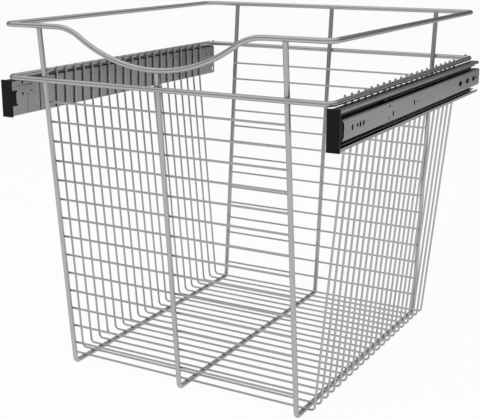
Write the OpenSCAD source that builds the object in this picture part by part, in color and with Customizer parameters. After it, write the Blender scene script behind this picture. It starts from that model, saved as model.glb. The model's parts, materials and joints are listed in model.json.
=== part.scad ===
// Pull out wire basket for a kitchen cabinet, on two full extension ball slides.
// X runs to the right, Y to the back of the cabinet, Z up, and the front faces -Y.
// The origin is the middle of the bottom of the box round the basket and its slides.

/* [Basket] */
// Width between the centre lines of the rim's side rails
rim_w = 440; // [400:1:520]
// Depth between the centre lines of the rim's front and rear rails
rim_d = 485; // [440:1:560]
// Height of the basket from the floor to the top of the upper rim
basket_h = 457.2; // [420:0.1:520]
// Drop from the upper rim to the rim over the slides
rim_drop = 65.2; // [55:0.1:90]
// Radius of the rim corners, on the wire's centre line
rim_corner_r = 12; // [8:1:30]
// Radius of the lower rim's tighter rear corners
rear_corner_r = 4.5; // [4.2:0.1:12]
// Diameter of the thick rim and frame wires
frame_wire_d = 6.35; // [5:0.05:8]
// Distance from the rim's side rails in to the outer frame wires
frame_wire_inset = 54; // [30:1:90]
// Radius of the bends between the frame wires' legs and floor runs
frame_bend_r = 7; // [5:1:25]
// Depth that welded wires sink into each other
weld_bite = 0.15; // [0.05:0.05:0.3]
// Depth that a butt welded wire end sinks into the rail above it
butt_bite = 0.3; // [0.1:0.05:0.4]
// Depth that the frame wires' legs sink into the lower rim
rim_bite = 0.5; // [0.1:0.1:1]

/* [Handle dip] */
// Radius of the long curve at the bottom of the dip
dip_low_r = 187; // [150:1:200]
// Radius of the two curves at the dip's shoulders
dip_shoulder_r = 60; // [30:1:80]
// Steepest slope of the dip, in degrees
dip_slope = 34; // [25:0.5:36]
// Straight run between the two curves
dip_straight = 2; // [1:0.5:10]

/* [Thin wires] */
// Diameter of the thin wires
mesh_wire_d = 2.8; // [2:0.05:3.5]
// Number of U shaped cross wires
cross_count = 21; // [15:1:25]
// Distance between cross wires
cross_pitch = 18.88; // [15:0.01:19]
// How far the row of cross wires sits behind the basket's middle
cross_shift = 3.9; // [0:0.1:6]
// Half width of the cross wires' floor, to the corner of the bend
cross_floor_half = 181.6; // [170:0.1:195]
// Radius of the bend between floor and side leg
cross_bend_r = 5.6; // [4:0.1:30]
// How far the legs have drifted at the carrier plates, forward on the right and back on the left
cross_drift = 10.4; // [0:0.1:15]
// Radius of the slight bend where a leg meets the carrier plate
cross_kink_r = 40; // [20:1:80]
// Height of that slight bend below the carrier plate
cross_kink_drop = 5; // [3:1:15]
// How far the cross wires stand above the lower rim
cross_stub = 0.5; // [0.3:0.1:3]
// Number of horizontal wires on the front and on the back
level_count = 14; // [10:1:14]
// Distance between horizontal wires
level_pitch = 25.42; // [20:0.01:25.6]
// Height of the lowest horizontal wire
level_first_z = 30; // [24:0.1:40]
// How far the horizontal wires run past the middle of the outer frame wires
level_end = 0.5; // [0.2:0.1:3]

/* [Slides] */
// Height of the slides' centre line
slide_z = 361.5; // [355:0.1:362]
// Height of the wide channel that moves with the basket
wide_h = 45.7; // [44:0.1:47]
// Height of the narrow channel that is screwed to the cabinet
narrow_h = 24; // [22:0.1:25]
// Outer height of the middle channel
middle_h = 35.2; // [34.6:0.1:35.4]
// Thickness of one slide, from the carrier plate to the cabinet side
slide_t = 12.7; // [12.5:0.1:14]
// Sheet thickness of the channels
sheet_t = 1.2; // [1:0.05:1.3]
// Bend radius of the channels, at the middle of the sheet
sheet_bend_r = 1; // [0.9:0.1:1.6]
// Radius of the rounded corners at the channels' rear ends
end_corner_r = 4; // [2:0.5:5]
// Distance from the basket's middle forward to the slides' front end
slide_front = 244; // [244:1:250]
// Distance from the basket's middle back to the rear end of the wide channel
slide_rear = 254; // [250:1:280]
// Gap between the front cap's wall and the middle channel
middle_front_gap = 3.3; // [2:0.1:6]
// How far the middle channel ends short of the wide one at the back
middle_rear_gap = 11; // [6:1:20]
// How far the narrow channel stands out behind the wide one
narrow_rear_out = 2; // [0:0.5:5]
// How far the basket travels out of the cabinet
travel = 480; // [400:5:480]
// Set back of the wide channel's lips from the cabinet side
lip_setback = 1; // [0.6:0.1:2]
// Height of those lips
lip_h = 4; // [3:0.1:4.4]

/* [Balls] */
// Diameter of the balls
ball_d = 4.76; // [4.7:0.01:4.8]
// Balls in each row
ball_count = 8; // [4:1:10]
// Running clearance round a ball
ball_clear = 0.08; // [0.05:0.01:0.1]
// Sheet thickness of the ball cages
cage_t = 0.5; // [0.4:0.05:0.6]
// Clearance between a cage or channel and its neighbours
run_clear = 0.25; // [0.2:0.01:0.3]

/* [Carrier plates] */
// Thickness of the carrier plates
plate_t = 1.5; // [1.2:0.1:2]
// Top edge of the carrier plates
plate_top_z = 382.6; // [382:0.1:384]
// Bottom edge of the carrier plates
plate_bottom_z = 340.3; // [339.5:0.1:343]
// How far the plates end short of the wide channel at the back
plate_rear_gap = 2.5; // [1:0.5:6]
// Diameter of the flush rivets
rivet_d = 4; // [3:0.1:4.5]
// Distance from either end of the plate to its end rivets
rivet_end = 60; // [50:1:90]
// Number of rivets in each plate
rivet_count = 4; // [2:1:6]

/* [Screw holes] */
// Radius of the round screw holes in the narrow channels
screw_hole_r = 2.2; // [2:0.05:2.4]
// Length of the slots in the narrow channels
slot_len = 6.6; // [5.5:0.1:7]
// Half width of the front, upright slots
slot_r = 2.2; // [1.5:0.1:2.4]
// Half height of the rear, lying slots
rear_slot_r = 3.3; // [2.4:0.1:3.5]
// Length of the rear, lying slots
rear_slot_len = 13; // [8:0.5:14]
// Distance from the slide's front end to the front screw hole
front_screw = 47.5; // [45:0.5:50]
// Distance from the front screw hole to the rear one
screw_spacing = 437; // [430:0.5:440]

/* [Front caps] */
// Thickness of the caps' front wall
cap_t = 2.7; // [2:0.1:4]
// How far the caps stand above and below the wide channel
cap_lap = 0.4; // [0.2:0.1:0.8]
// How far the caps stand in from the carrier plate
cap_side = 1.2; // [0.8:0.1:1.6]
// How far the tongue and the inner block reach back from the wall
cap_reach = 7; // [5:0.5:9]
// Thickness of the tongue, which lies below the narrow channel's face
tongue_t = 0.4; // [0.3:0.1:0.9]

/* [Hidden] */
$fn = 48;

// Colours
wire_grey = [0.68, 0.69, 0.70];
zinc_grey = [0.55, 0.55, 0.56];
dark_steel = [0.16, 0.16, 0.17];
moulded_black = [0.11, 0.11, 0.11];
ball_steel = [0.62, 0.63, 0.65];

// Middle of the basket, so that the box round the whole part is centred on the origin
basket_y = ((rim_d + frame_wire_d) / 2 - slide_rear - narrow_rear_out) / 2;

// Rims: heights of their centre lines
top_rim_z = basket_h - frame_wire_d / 2;
slide_rim_z = top_rim_z - rim_drop;

// Handle dip, worked out from its curves
dip_run = dip_shoulder_r * tan(dip_slope / 2) + dip_straight + dip_low_r * tan(dip_slope);
dip_corner_x = dip_run * cos(dip_slope);
dip_half_w = dip_corner_x + dip_shoulder_r * tan(dip_slope / 2);
dip_point = dip_run * sin(dip_slope);
dip_depth = dip_point - dip_low_r * (1 / cos(dip_slope) - 1);

// Frame wires: they run inside the lower rim and end under the upper one
frame_x = rim_w / 2 - frame_wire_inset;
frame_lean = (frame_wire_d - rim_bite) / rim_drop;
frame_floor_z = frame_wire_d / 2;
frame_floor_y = rim_d / 2 - frame_lean * (top_rim_z - frame_floor_z);
frame_top_z = top_rim_z - frame_wire_d / 2 + butt_bite;
dip_frame_top_z = frame_top_z - dip_depth;
function frame_y(z) = frame_floor_y + frame_lean * (z - frame_floor_z);

// Thin wires
plate_touch = 0.02;
wire_touch = (frame_wire_d + mesh_wire_d) / 2 - weld_bite;
cross_floor_z = frame_floor_z + wire_touch;
cross_top_z = slide_rim_z + frame_wire_d / 2 + cross_stub;
cross_kink_z = plate_bottom_z - cross_kink_drop;
level_len = 2 * (frame_x + level_end);

// Legs of the thin U wires, in a plane that turns about the floor run: v up from that run
cross_turn = atan(cross_drift / (cross_kink_z - cross_floor_z));
cross_kink_v = (cross_kink_z - cross_floor_z) / cos(cross_turn);
cross_top_v = (cross_top_z - cross_floor_z) / cos(cross_turn);

// Slides, measured from the carrier plate: u outwards, v up from the slide's centre line
plate_x = rim_w / 2 - frame_wire_d / 2;
cross_leg_x = plate_x - mesh_wire_d / 2 + plate_touch;
cross_run = cross_floor_half - cross_bend_r * tan(atan2(cross_kink_v, cross_leg_x - cross_floor_half) / 2);
slide_x = plate_x + plate_t;
slide_front_y = basket_y - slide_front;
slide_rear_y = basket_y + slide_rear;
wide_front_y = slide_front_y + cap_t;
wide_lip_u = slide_t - lip_setback;
web_in_u = slide_t - sheet_t;
middle_front_y = wide_front_y + middle_front_gap;
middle_rear_y = slide_rear_y - middle_rear_gap;
narrow_front_y = wide_front_y + 2 * run_clear;
narrow_rear_y = slide_rear_y + narrow_rear_out;
outer_cage_u = sheet_t + run_clear;
middle_u = outer_cage_u + cage_t + run_clear;
inner_cage_u = middle_u + sheet_t + run_clear;
narrow_u = inner_cage_u + cage_t + run_clear;
middle_flange_u = 9;
ball_u = (narrow_u + middle_flange_u) / 2;
outer_ball_v = (wide_h / 2 - sheet_t + middle_h / 2) / 2;
inner_ball_v = (middle_h / 2 - sheet_t + narrow_h / 2) / 2;
race_r = ball_d / 2 + ball_clear;

// Ball cages: short enough to stay between both channels when the slide is out
stop_t = 2;
stop_h = 8;
stop_gap = 4;
middle_mid_y = (middle_front_y + middle_rear_y) / 2;
cage_len = middle_rear_y - middle_front_y - travel / 2 - 2 * (stop_t + stop_gap);
cage_end = 6;
cage_bend_r = 0.8;
ball_pitch = (cage_len - 2 * cage_end) / (ball_count - 1);

// Plates
plate_rear_y = slide_rear_y - plate_rear_gap;
plate_top_v = plate_top_z - slide_z;
plate_bottom_v = plate_bottom_z - slide_z;
rivet_front_y = wide_front_y + rivet_end;
rivet_pitch = (plate_rear_y - rivet_end - rivet_front_y) / (rivet_count - 1);
rivet_head_t = 0.6;

// Raised pad and pressed panels at the front of the plates, as [distance from the front, height v]
pad_t = 0.5;
pad_points = [[0, plate_bottom_v], [27.8, plate_bottom_v], [27.8, 1], [33, 4.8], [33, 14], [0, 14]];
recess_t = 0.25;
recess_from = 27.3;
recess_to = 53.5;
panel_t = 0.5;
panel_points = [[27.3, -11], [53, -16.5], [53, 2], [38, 4.4], [32, 4.4], [27.3, 1.2]];

// Grooves round the panels, as the two ends of each: [distance from the front, height v]
groove_w = 1.6;
groove_t = 1;
grooves = [
    [[28.6, -24], [28.6, 1]], [[28.6, 1], [33.6, 5]], [[33.6, 4.4], [53.5, 2]],
    [[28.6, -11], [53.5, -16.5]], [[53.5, -24], [53.5, 24]],
];

// Wedge shaped hook pressed out of the plates, from its root to its tip, and the slit behind it
hook_root = 14.2;
hook_tip = 36;
hook_low = 7.7;
hook_high = 15.4;
hook_out = 3.6;
hook_slope = 21;
hook_sink = 1;
slit_low = 5.4;
slit_high = 15.1;
slit_len = 3.5;

// Small holes of the plates and the wide channels, as [distance from the nearer end, height v]
front_hole_r = 1.8;
front_holes = [[20.5, 18.5], [20.1, 4.2]];
rear_hole_r = 1.6;
rear_holes = [[26.7, 9.7], [11.7, 9.7]];

// Slot near the plates' rear lower corner, over an open notch in the wide channels
tail_slot_in = 6.7;
tail_slot_v = -14.7;
tail_slot_r = 2.5;
tail_slot_len = 8.5;
tail_notch = 9;

// Slots in the narrow channels, as distances from the slide's front end
slot_places = [33.2, 55.2, 64.2, 225];
rear_slot_places = [410.5, 442.5, 472];

// Rivet and tool holes of the channels' maker, as [distance from the slide's front end, height v, radius]
tool_holes = [[141.5, 7.2, 1.9], [141, -6.9, 1.4], [237.5, 0, 1.5]];
tool_slot_y = 153.5;
tool_slot_v = -3.3;
tool_slot_r = 2;

// Front caps: tongue, plugs with a pocket, and toothed block
tongue_low = 7;
tongue_high = narrow_h / 2 + 1;
tongue_len = cap_reach + 1;
plug_wall = 1.5;
plug_gap = 1;
block_high = 9.5;
tooth_h = 2;
tooth_len = 2.5;

// Bends are a hair thinner than the straight runs and reach into them, so the two join cleanly
bend_step = 0.01;
bend_lap = 0.1;

// A small overshoot for cuts
eps = 0.5;

// ---- Wire along a flat path -------------------------------------------------

function heading(a, b) = atan2(b[1] - a[1], b[0] - a[0]);
function turn_of(a, b) = let(t = b - a) t > 180 ? t - 360 : (t < -180 ? t + 360 : t);

// One straight run of wire in the XY plane, left out where two bends meet
module wire_run(from, to, d) {
    if (norm(to - from) > bend_lap)
        translate([from[0], from[1], 0])
            rotate([0, 0, heading(from, to)])
                rotate([0, 90, 0])
                    cylinder(h = norm(to - from), d = d);
}

// One bend of wire in the XY plane that starts at a point, with a heading and a turn
module wire_bend(at, dir, turn, r, d) {
    side = sign(turn);
    centre = at + r * side * [-sin(dir), cos(dir)];
    first = dir - 90 * side;
    lap = asin(bend_lap / r);
    translate([centre[0], centre[1], 0])
        rotate([0, 0, min(first, first + turn) - lap])
            rotate_extrude(angle = abs(turn) + 2 * lap)
                translate([r, 0]) circle(d = d - 2 * bend_step);
}

// Wire along points in the XY plane, with a bend radius at each point
module bent_wire(points, radii, d, closed = false) {
    n = len(points);
    dirs = [for (i = [0 : n - 1]) heading(points[i], points[(i + 1) % n])];
    turns = [for (i = [0 : n - 1]) turn_of(dirs[(i + n - 1) % n], dirs[i])];
    bent = [for (i = [0 : n - 1]) closed || (i > 0 && i < n - 1)];
    cuts = [for (i = [0 : n - 1]) bent[i] ? radii[i] * tan(abs(turns[i]) / 2) : 0];
    last = closed ? n - 1 : n - 2;
    for (i = [0 : last]) {
        j = (i + 1) % n;
        along = [cos(dirs[i]), sin(dirs[i])];
        wire_run(points[i] + cuts[i] * along, points[j] - cuts[j] * along, d);
    }
    for (i = [0 : n - 1])
        if (bent[i]) {
            before = dirs[(i + n - 1) % n];
            wire_bend(points[i] - cuts[i] * [cos(before), sin(before)], before, turns[i], radii[i], d);
        }
}

// Draws its children on the right (1) or mirrored on the left (-1)
module on_side(side) {
    if (side > 0) children();
    else mirror([1, 0, 0]) children();
}

// ---- Basket -----------------------------------------------------------------

// Upper rim: three plain sides, and a front rail that dips for the hand
module top_rim() {
    x = rim_w / 2;
    y = rim_d / 2;
    rail_end = x - rim_corner_r;
    color(wire_grey) {
        translate([0, basket_y, top_rim_z])
            bent_wire(
                [[-rail_end, -y], [-x, -y], [-x, y], [x, y], [x, -y], [rail_end, -y]],
                [0, rim_corner_r, rim_corner_r, rim_corner_r, rim_corner_r, 0],
                frame_wire_d);
        translate([0, basket_y - y, top_rim_z])
            rotate([90, 0, 0])
                bent_wire(
                    [[-rail_end, 0], [-dip_corner_x, 0], [0, -dip_point], [dip_corner_x, 0], [rail_end, 0]],
                    [0, dip_shoulder_r, dip_low_r, dip_shoulder_r, 0],
                    frame_wire_d);
    }
}

// Lower rim, over the slides
module slide_rim() {
    x = rim_w / 2;
    y = rim_d / 2;
    color(wire_grey)
        translate([0, basket_y, slide_rim_z])
            bent_wire(
                [[-x, -y], [-x, y], [x, y], [x, -y]],
                [rim_corner_r, rear_corner_r, rear_corner_r, rim_corner_r],
                frame_wire_d,
                closed = true);
}

// Thick U wire at one place across the width, with its own height at the front
module frame_wire(x, front_top_z) {
    color(wire_grey)
        translate([x, basket_y, 0])
            rotate([90, 0, 90])
                bent_wire(
                    [
                        [-frame_y(front_top_z), front_top_z],
                        [-frame_floor_y, frame_floor_z],
                        [frame_floor_y, frame_floor_z],
                        [frame_y(frame_top_z), frame_top_z],
                    ],
                    [0, frame_bend_r, frame_bend_r, 0],
                    frame_wire_d);
}

// One thin U wire: floor run, and two legs with upright ends on the carrier plates.
// The right leg drifts forward as it rises, and the left one back.
module cross_wire(y) {
    translate([0, y, cross_floor_z]) {
        rotate([0, 90, 0])
            cylinder(h = 2 * cross_run, d = mesh_wire_d, center = true);
        for (side = [-1, 1])
            on_side(side)
                rotate([90 + side * cross_turn, 0, 0])
                    bent_wire(
                        [
                            [cross_run, 0],
                            [cross_floor_half, 0],
                            [cross_leg_x, cross_kink_v],
                            [cross_leg_x, cross_top_v],
                        ],
                        [0, cross_bend_r, cross_kink_r, 0],
                        mesh_wire_d);
    }
}

module cross_wires() {
    color(wire_grey)
        for (i = [0 : cross_count - 1])
            cross_wire(basket_y + cross_shift + (i - (cross_count - 1) / 2) * cross_pitch);
}

// Horizontal thin wires inside the front legs (side = -1) or the rear legs (side = 1)
module level_wires(side) {
    color(wire_grey)
        for (i = [0 : level_count - 1]) {
            z = level_first_z + i * level_pitch;
            y = frame_y(z) - wire_touch * sqrt(1 + frame_lean * frame_lean);
            translate([-level_len / 2, basket_y + side * y, z])
                rotate([0, 90, 0])
                    cylinder(h = level_len, d = mesh_wire_d);
        }
}

// ---- Slides: right hand side, mirrored for the left ---------------------------

// Block between two corners given as [u, y, v]
module slide_block(from, to) {
    size = to - from;
    translate([slide_x + from[0], from[1], slide_z + from[2]])
        cube(size);
}

// That block above the slide's centre line, and its mirror image below
module block_pair(from, to) {
    slide_block(from, to);
    slide_block([from[0], from[1], -to[2]], [to[0], to[1], -from[2]]);
}

// Flat shape between two depths, through points given as [distance from the wide channel's front, v]
module upright_shape(u0, u1, points) {
    translate([slide_x + u0, wide_front_y, slide_z])
        rotate([90, 0, 90])
            linear_extrude(u1 - u0)
                polygon(points);
}

// Rod along Y through u and v, from front to back
module slide_rod(u, v, r, front, back) {
    translate([slide_x + u, front, slide_z + v])
        rotate([-90, 0, 0])
            cylinder(h = back - front, r = r);
}

// Round hole across a sheet that spans u0 to u1, at y and v
module cross_hole(u0, u1, y, v, r) {
    translate([slide_x + u0, y, slide_z + v])
        rotate([0, 90, 0])
            cylinder(h = u1 - u0, r = r);
}

// Upright slot across a sheet that spans u0 to u1
module cross_slot(u0, u1, y, v, r, length) {
    half = length / 2 - r;
    cross_hole(u0, u1, y, v - half, r);
    cross_hole(u0, u1, y, v + half, r);
    slide_block([u0, y - r, v - half], [u1, y + r, v + half]);
}

// Lying slot across a sheet that spans u0 to u1
module lying_slot(u0, u1, y, v, r, length) {
    half = length / 2 - r;
    cross_hole(u0, u1, y - half, v, r);
    cross_hole(u0, u1, y + half, v, r);
    slide_block([u0, y - half, v - r], [u1, y + half, v + r]);
}

// Outline of a sheet bent along points, seen on its edge
bend_steps = 3;
function normal_of(a) = [-sin(a), cos(a)];
function sheet_bend(points, i, r, shift) =
    let(a = heading(points[i - 1], points[i]),
        turn = turn_of(a, heading(points[i], points[i + 1])),
        side = sign(turn),
        centre = points[i] - r * tan(abs(turn) / 2) * [cos(a), sin(a)] + r * side * normal_of(a),
        first = a - 90 * side)
    [
        for (k = [0 : bend_steps])
            let(at = first + turn * k / bend_steps)
                centre + (r - side * shift) * [cos(at), sin(at)]
    ];
function sheet_edge(points, r, shift) =
    let(n = len(points),
        start = points[0] + shift * normal_of(heading(points[0], points[1])),
        end = points[n - 1] + shift * normal_of(heading(points[n - 2], points[n - 1])))
    [start, for (i = [1 : n - 2]) each sheet_bend(points, i, r, shift), end];
function reversed(list) = [for (i = [len(list) - 1 : -1 : 0]) list[i]];

// Bent sheet that runs along the slide, through points given as [u, v]
module bent_sheet(points, t, r, front, back) {
    translate([slide_x, back, slide_z])
        rotate([90, 0, 0])
            linear_extrude(back - front)
                polygon(concat(sheet_edge(points, r, t / 2), reversed(sheet_edge(points, r, -t / 2))));
}

// Channel with a web at web_u and two flanges that reach flange_u
module channel(web_u, flange_u, half_h, front, back) {
    web_mid = web_u + sign(flange_u - web_u) * sheet_t / 2;
    v = half_h - sheet_t / 2;
    path = [[flange_u, -v], [web_mid, -v], [web_mid, v], [flange_u, v]];
    bent_sheet(path, sheet_t, sheet_bend_r, front, back);
}

// Tool that rounds a corner of an upright sheet at its rear end, below (-1) or above (1)
module rear_corner_cut(u0, u1, back, v, side) {
    difference() {
        slide_block(
            [u0, back - end_corner_r, min(v - side * end_corner_r, v + side * eps)],
            [u1, back + eps, max(v - side * end_corner_r, v + side * eps)]);
        cross_hole(u0 - eps, u1 + eps, back - end_corner_r, v - side * end_corner_r, end_corner_r);
    }
}

// Both ball races at a height, as cuts along the whole slide
module races(v) {
    for (s = [-1, 1])
        slide_rod(ball_u, s * v, race_r, slide_front_y - eps, narrow_rear_y + eps);
}

// Wide channel, fixed to the carrier plate, with lips that face the cabinet side
module basket_member() {
    half = wide_h / 2;
    web_mid = sheet_t / 2;
    lip_mid = wide_lip_u - sheet_t / 2;
    flange_v = half - sheet_t / 2;
    lip_v = half - lip_h;
    color(zinc_grey)
        difference() {
            union() {
                bent_sheet(
                    [
                        [lip_mid, -lip_v], [lip_mid, -flange_v], [web_mid, -flange_v],
                        [web_mid, flange_v], [lip_mid, flange_v], [lip_mid, lip_v],
                    ],
                    sheet_t, sheet_bend_r, wide_front_y, slide_rear_y);
                // Stop for the outer ball cage
                slide_block(
                    [sheet_t - eps, slide_rear_y - middle_rear_gap - stop_t, -stop_h / 2],
                    [outer_cage_u + cage_t, slide_rear_y - middle_rear_gap, stop_h / 2]);
            }
            races(outer_ball_v);
            for (i = [0 : rivet_count - 1])
                cross_hole(-eps, sheet_t + eps, rivet_front_y + i * rivet_pitch, 0, rivet_d / 2);
            plate_holes();
            slide_block(
                [-eps, slide_rear_y - tail_notch, tail_slot_v - tail_slot_len / 2],
                [sheet_t + eps, slide_rear_y + eps, tail_slot_v + tail_slot_len / 2]);
            for (s = [-1, 1])
                rear_corner_cut(-eps, slide_t, slide_rear_y, s * half, s);
        }
}

// Intermediate channel, with races outside and inside its flanges
module middle_member() {
    color(dark_steel)
        difference() {
            union() {
                channel(middle_u, middle_flange_u, middle_h / 2, middle_front_y, middle_rear_y);
                // Stop for the inner ball cage
                slide_block(
                    [middle_u + sheet_t - eps, middle_rear_y - stop_t, -stop_h / 2],
                    [inner_cage_u + cage_t, middle_rear_y, stop_h / 2]);
            }
            races(outer_ball_v);
            races(inner_ball_v);
        }
}

// Narrow channel, screwed to the cabinet side, its front end notched round the cap's tongue
module cabinet_member() {
    u0 = web_in_u - eps;
    u1 = slide_t + eps;
    color(zinc_grey)
        difference() {
            channel(slide_t, narrow_u, narrow_h / 2, narrow_front_y, narrow_rear_y);
            races(inner_ball_v);
            cap_tongue(run_clear, u0, u1);
            for (y = slot_places)
                cross_slot(u0, u1, slide_front_y + y, 0, slot_r, slot_len);
            for (y = rear_slot_places)
                lying_slot(u0, u1, slide_front_y + y, 0, rear_slot_r, rear_slot_len);
            for (s = [-1, 1])
                rear_corner_cut(narrow_u - eps, u1, narrow_rear_y, s * narrow_h / 2, s);
            for (y = [front_screw, front_screw + screw_spacing])
                cross_hole(u0, u1, slide_front_y + y, 0, screw_hole_r);
            for (hole = tool_holes)
                cross_hole(u0, u1, slide_front_y + hole[0], hole[1], hole[2]);
            cross_slot(u0, u1, slide_front_y + tool_slot_y, tool_slot_v, tool_slot_r, slot_len);
        }
}

// Ball cage: a thin channel with a window for each ball
module ball_cage(web_u, ball_v) {
    front = middle_mid_y - cage_len / 2;
    web_mid = web_u + cage_t / 2;
    color(dark_steel)
        difference() {
            bent_sheet(
                [
                    [middle_flange_u, -ball_v], [web_mid, -ball_v],
                    [web_mid, ball_v], [middle_flange_u, ball_v],
                ],
                cage_t, cage_bend_r, front, front + cage_len);
            for (s = [-1, 1], i = [0 : ball_count - 1])
                translate([slide_x + ball_u, front + cage_end + i * ball_pitch, slide_z + s * ball_v])
                    cylinder(h = 2 * cage_t, r = race_r, center = true);
        }
}

module balls(ball_v) {
    front = middle_mid_y - cage_len / 2;
    color(ball_steel)
        for (s = [-1, 1], i = [0 : ball_count - 1])
            translate([slide_x + ball_u, front + cage_end + i * ball_pitch, slide_z + s * ball_v])
                sphere(d = ball_d);
}

// Slit behind the hook and small holes near the ends, through the plate and the wide channel
module plate_holes() {
    u0 = -plate_t - pad_t - eps;
    u1 = sheet_t + eps;
    slit_y = wide_front_y + hook_tip;
    slide_block([u0, slit_y, slit_low], [u1, slit_y + slit_len, slit_high]);
    for (hole = front_holes)
        cross_hole(u0, u1, wide_front_y + hole[0], hole[1], front_hole_r);
    for (hole = rear_holes)
        cross_hole(u0, u1, slide_rear_y - hole[0], hole[1], rear_hole_r);
}

// Groove in the plate's inner face, between two points
module plate_groove(from, to) {
    side = groove_w / 2 * normal_of(heading(from, to));
    upright_shape(
        -plate_t - pad_t - eps, -plate_t + groove_t,
        [from + side, to + side, to - side, from - side]);
}

// Wedge that stands out of the plate towards the basket, with a sloping top
module plate_hook() {
    translate([slide_x - plate_t, wide_front_y, slide_z])
        difference() {
            translate([0, 0, hook_low])
                linear_extrude(hook_high - hook_low)
                    polygon([
                        [hook_sink, hook_root - eps], [-pad_t, hook_root - eps], [-pad_t, hook_root],
                        [-hook_out, hook_tip], [hook_sink, hook_tip],
                    ]);
            translate([0, 0, hook_high])
                rotate([0, -hook_slope, 0])
                    translate([-2 * hook_out, 0, 0])
                        cube([2 * hook_out, hook_tip + eps, hook_out]);
        }
}

// Sheet that carries the basket: raised pad, grooved panels, hook and small holes
module carrier_plate() {
    color(zinc_grey)
        union() {
            difference() {
                union() {
                    difference() {
                        slide_block([-plate_t, wide_front_y, plate_bottom_v], [0, plate_rear_y, plate_top_v]);
                        slide_block(
                            [-plate_t - eps, wide_front_y + recess_from, plate_bottom_v - eps],
                            [-plate_t + recess_t, wide_front_y + recess_to, plate_top_v + eps]);
                        upright_shape(-plate_t - eps, -plate_t + panel_t, panel_points);
                    }
                    upright_shape(-plate_t - pad_t, -plate_t + 2 * panel_t, pad_points);
                }
                for (ends = grooves)
                    plate_groove(ends[0], ends[1]);
                plate_holes();
                cross_slot(
                    -plate_t - eps, eps, slide_rear_y - tail_slot_in,
                    tail_slot_v, tail_slot_r, tail_slot_len);
                for (i = [0 : rivet_count - 1])
                    rivet(rivet_front_y + i * rivet_pitch);
            }
            plate_hook();
        }
}

// One flush rivet: a wide head in the plate and a shank through the channel
module rivet(y) {
    cross_hole(-plate_t, -plate_t + rivet_head_t, y, 0, rivet_d);
    cross_hole(-plate_t, sheet_t, y, 0, rivet_d / 2);
}

module plate_rivets() {
    color(zinc_grey)
        for (i = [0 : rivet_count - 1])
            rivet(rivet_front_y + i * rivet_pitch);
}

// Tongue of the cap between two depths, grown by a gap for the notch that it fills
module cap_tongue(gap, u0, u1) {
    upright_shape(u0, u1, [
        [-eps, -tongue_high - gap], [gap, -tongue_high - gap], [tongue_len + gap, -tongue_low - gap],
        [tongue_len + gap, tongue_low + gap], [gap, tongue_high + gap], [-eps, tongue_high + gap],
    ]);
}

// Moulded cap: front wall, plugs inside the channel, tongue outside and toothed block inside
module front_cap() {
    half = wide_h / 2 + cap_lap;
    plug_high = wide_h / 2 - sheet_t - run_clear;
    plug_low = narrow_h / 2 + 2 * run_clear;
    plug_u0 = sheet_t + run_clear;
    plug_u1 = wide_lip_u - sheet_t - run_clear;
    block_u0 = -plate_t - cap_side;
    block_u1 = -plate_t - pad_t;
    block_rear_y = wide_front_y + cap_reach;
    color(moulded_black)
        difference() {
            union() {
                slide_block([block_u0, slide_front_y, -half], [slide_t - run_clear, wide_front_y, half]);
                block_pair(
                    [plug_u0, wide_front_y - eps, plug_low],
                    [plug_u1, middle_front_y - plug_gap, plug_high]);
                slide_block(
                    [block_u0, wide_front_y - eps, -block_high],
                    [block_u1, block_rear_y, block_high]);
                block_pair(
                    [block_u0, wide_front_y - eps, block_high - tooth_h],
                    [block_u1, block_rear_y + tooth_len, block_high]);
                cap_tongue(0, web_in_u, web_in_u + tongue_t);
            }
            block_pair(
                [plug_u0 + plug_wall, wide_front_y, plug_low + plug_wall],
                [plug_u1 - plug_wall, middle_front_y, plug_high - plug_wall]);
        }
}

top_rim();
slide_rim();
frame_wire(-frame_x, frame_top_z);  // left_frame_wire
frame_wire(0, dip_frame_top_z);  // middle_frame_wire
frame_wire(frame_x, frame_top_z);  // right_frame_wire
cross_wires();
level_wires(-1);  // front_wires
level_wires(1);  // rear_wires
on_side(-1) carrier_plate();  // left_carrier_plate
on_side(1) carrier_plate();  // right_carrier_plate
on_side(-1) plate_rivets();  // left_plate_rivets
on_side(1) plate_rivets();  // right_plate_rivets
on_side(-1) basket_member();  // left_basket_member
on_side(1) basket_member();  // right_basket_member
on_side(-1) middle_member();  // left_middle_member
on_side(1) middle_member();  // right_middle_member
on_side(-1) cabinet_member();  // left_cabinet_member
on_side(1) cabinet_member();  // right_cabinet_member
on_side(-1) ball_cage(outer_cage_u, outer_ball_v);  // left_outer_ball_cage
on_side(1) ball_cage(outer_cage_u, outer_ball_v);  // right_outer_ball_cage
on_side(-1) ball_cage(inner_cage_u, inner_ball_v);  // left_inner_ball_cage
on_side(1) ball_cage(inner_cage_u, inner_ball_v);  // right_inner_ball_cage
on_side(-1) balls(outer_ball_v);  // left_outer_balls
on_side(1) balls(outer_ball_v);  // right_outer_balls
on_side(-1) balls(inner_ball_v);  // left_inner_balls
on_side(1) balls(inner_ball_v);  // right_inner_balls
on_side(-1) front_cap();  // left_front_cap
on_side(1) front_cap();  // right_front_cap
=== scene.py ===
"""Looks of the pull out cabinet basket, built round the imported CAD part.

The wires, plates, slides and caps are the CAD part's own pieces and get their finishes here.
The welds and the slides' rubber bumpers are added as pieces of their own.
"""

from __future__ import annotations

import json
import logging
import math
from dataclasses import dataclass, field
from enum import Enum
from typing import Sequence

import bmesh
import bpy
from mathutils import Matrix, Vector, noise

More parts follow.
